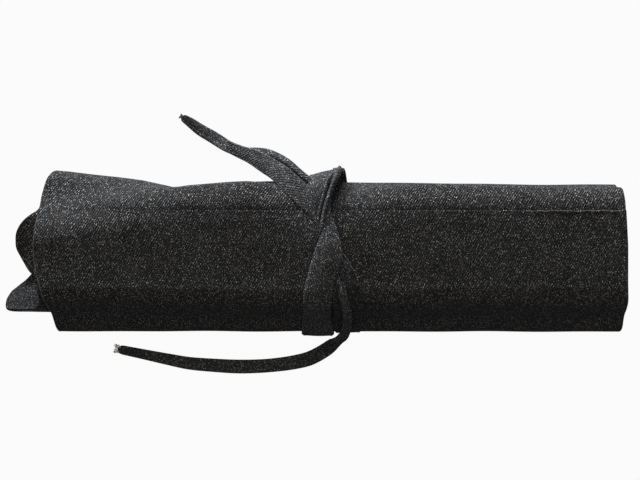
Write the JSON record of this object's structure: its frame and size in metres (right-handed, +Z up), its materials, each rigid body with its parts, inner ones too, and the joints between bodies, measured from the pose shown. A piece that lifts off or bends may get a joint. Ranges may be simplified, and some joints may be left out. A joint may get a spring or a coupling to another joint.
{
  "type": "knife roll",
  "caption": "Charcoal denim knife roll, rolled up and tied at the middle with a folded denim strap; it unrolls flat to show sewn knife slots.",
  "frame": {"origin": "on the table under the middle of the rolled and tied roll, without its two strap tails", "axes": "+X along the roll towards the hemmed right end, +Y towards the flap's free edge, +Z up"},
  "size_m": [0.4786, 0.2108, 0.0846],
  "materials": {
    "denim": "matte charcoal twill",
    "slot_denim": "matte charcoal twill, lighter back face",
    "tie": "matte charcoal twill, folded"
  },
  "bodies": {
    "flap": {"shell_panel_01": "denim"},
    "front_upper": {"shell_panel_02": "denim"},
    "front_lower": {"shell_panel_03": "denim"},
    "base": {"shell_panel_04": "denim", "knife_slot_1": "slot_denim", "tie_band_over": "tie", "tie_band_under": "tie", "tie_tail_upper": "tie", "tie_tail_lower": "tie"},
    "back_lower": {"shell_panel_05": "denim", "knife_slot_2": "slot_denim"},
    "back_upper": {"shell_panel_06": "denim", "knife_slot_3": "slot_denim"},
    "inner_top": {"shell_panel_07": "denim", "knife_slot_4": "slot_denim"},
    "inner_front_upper": {"shell_panel_08": "denim", "knife_slot_5": "slot_denim"},
    "inner_front_lower": {"shell_panel_09": "denim", "knife_slot_6": "slot_denim"},
    "inner_base": {"shell_panel_10": "denim", "knife_slot_7": "slot_denim"},
    "inner_back_lower": {"shell_panel_11": "denim", "knife_slot_8": "slot_denim"},
    "inner_edge": {"shell_panel_12": "denim", "knife_slot_9": "slot_denim"}
  },
  "joints": [
    {"name": "unroll", "type": "hinge", "parent": "base", "child": "back_lower", "pos_m": [0, 0.03444, 0], "axis": [-1, 0, 0], "range_deg": [0, 55], "deforming": ["tie_band_over", "tie_band_under", "tie_tail_upper", "tie_tail_lower"]},
    {"name": "fold_back", "type": "hinge", "parent": "back_lower", "child": "back_upper", "pos_m": [0, 0.05854, 0.03442], "axis": [-1, 0, 0], "range_deg": [0, 70]},
    {"name": "fold_inner_top_back", "type": "hinge", "parent": "back_upper", "child": "inner_top", "pos_m": [0, 0.03585, 0.06684], "axis": [-1, 0, 0], "range_deg": [0, 55]},
    {"name": "fold_inner_top_front", "type": "hinge", "parent": "inner_top", "child": "inner_front_upper", "pos_m": [0, -0.02391, 0.06684], "axis": [-1, 0, 0], "range_deg": [0, 55]},
    {"name": "fold_inner_front", "type": "hinge", "parent": "inner_front_upper", "child": "inner_front_lower", "pos_m": [0, -0.04381, 0.03842], "axis": [-1, 0, 0], "range_deg": [0, 70]},
    {"name": "fold_inner_base_front", "type": "hinge", "parent": "inner_front_lower", "child": "inner_base", "pos_m": [0, -0.02531, 0.012], "axis": [-1, 0, 0], "range_deg": [0, 55]},
    {"name": "fold_inner_base_back", "type": "hinge", "parent": "inner_base", "child": "inner_back_lower", "pos_m": [0, 0.0282, 0.012], "axis": [-1, 0, 0], "range_deg": [0, 55]},
    {"name": "fold_inner_back", "type": "hinge", "parent": "inner_back_lower", "child": "inner_edge", "pos_m": [0, 0.04389, 0.03442], "axis": [-1, 0, 0], "range_deg": [0, 70]},
    {"name": "fold_base_front", "type": "hinge", "parent": "base", "child": "front_lower", "pos_m": [0, -0.03156, 0], "axis": [1, 0, 0], "range_deg": [0, 55]},
    {"name": "fold_front", "type": "hinge", "parent": "front_lower", "child": "front_upper", "pos_m": [0, -0.05846, 0.03842], "axis": [1, 0, 0], "range_deg": [0, 70]},
    {"name": "fold_top_front", "type": "hinge", "parent": "front_upper", "child": "flap", "pos_m": [0, -0.03016, 0.07884], "axis": [1, 0, 0], "range_deg": [0, 55]}
  ],
  "couplings": [
    {"joint": "fold_back", "follows": "unroll", "ratio": 1.2727},
    {"joint": "fold_inner_top_back", "follows": "unroll", "ratio": 1},
    {"joint": "fold_inner_top_front", "follows": "unroll", "ratio": 1},
    {"joint": "fold_inner_front", "follows": "unroll", "ratio": 1.2727},
    {"joint": "fold_inner_base_front", "follows": "unroll", "ratio": 1},
    {"joint": "fold_inner_base_back", "follows": "unroll", "ratio": 1},
    {"joint": "fold_inner_back", "follows": "unroll", "ratio": 1.2727},
    {"joint": "fold_base_front", "follows": "unroll", "ratio": 1},
    {"joint": "fold_front", "follows": "unroll", "ratio": 1.2727},
    {"joint": "fold_top_front", "follows": "unroll", "ratio": 1}
  ]
}
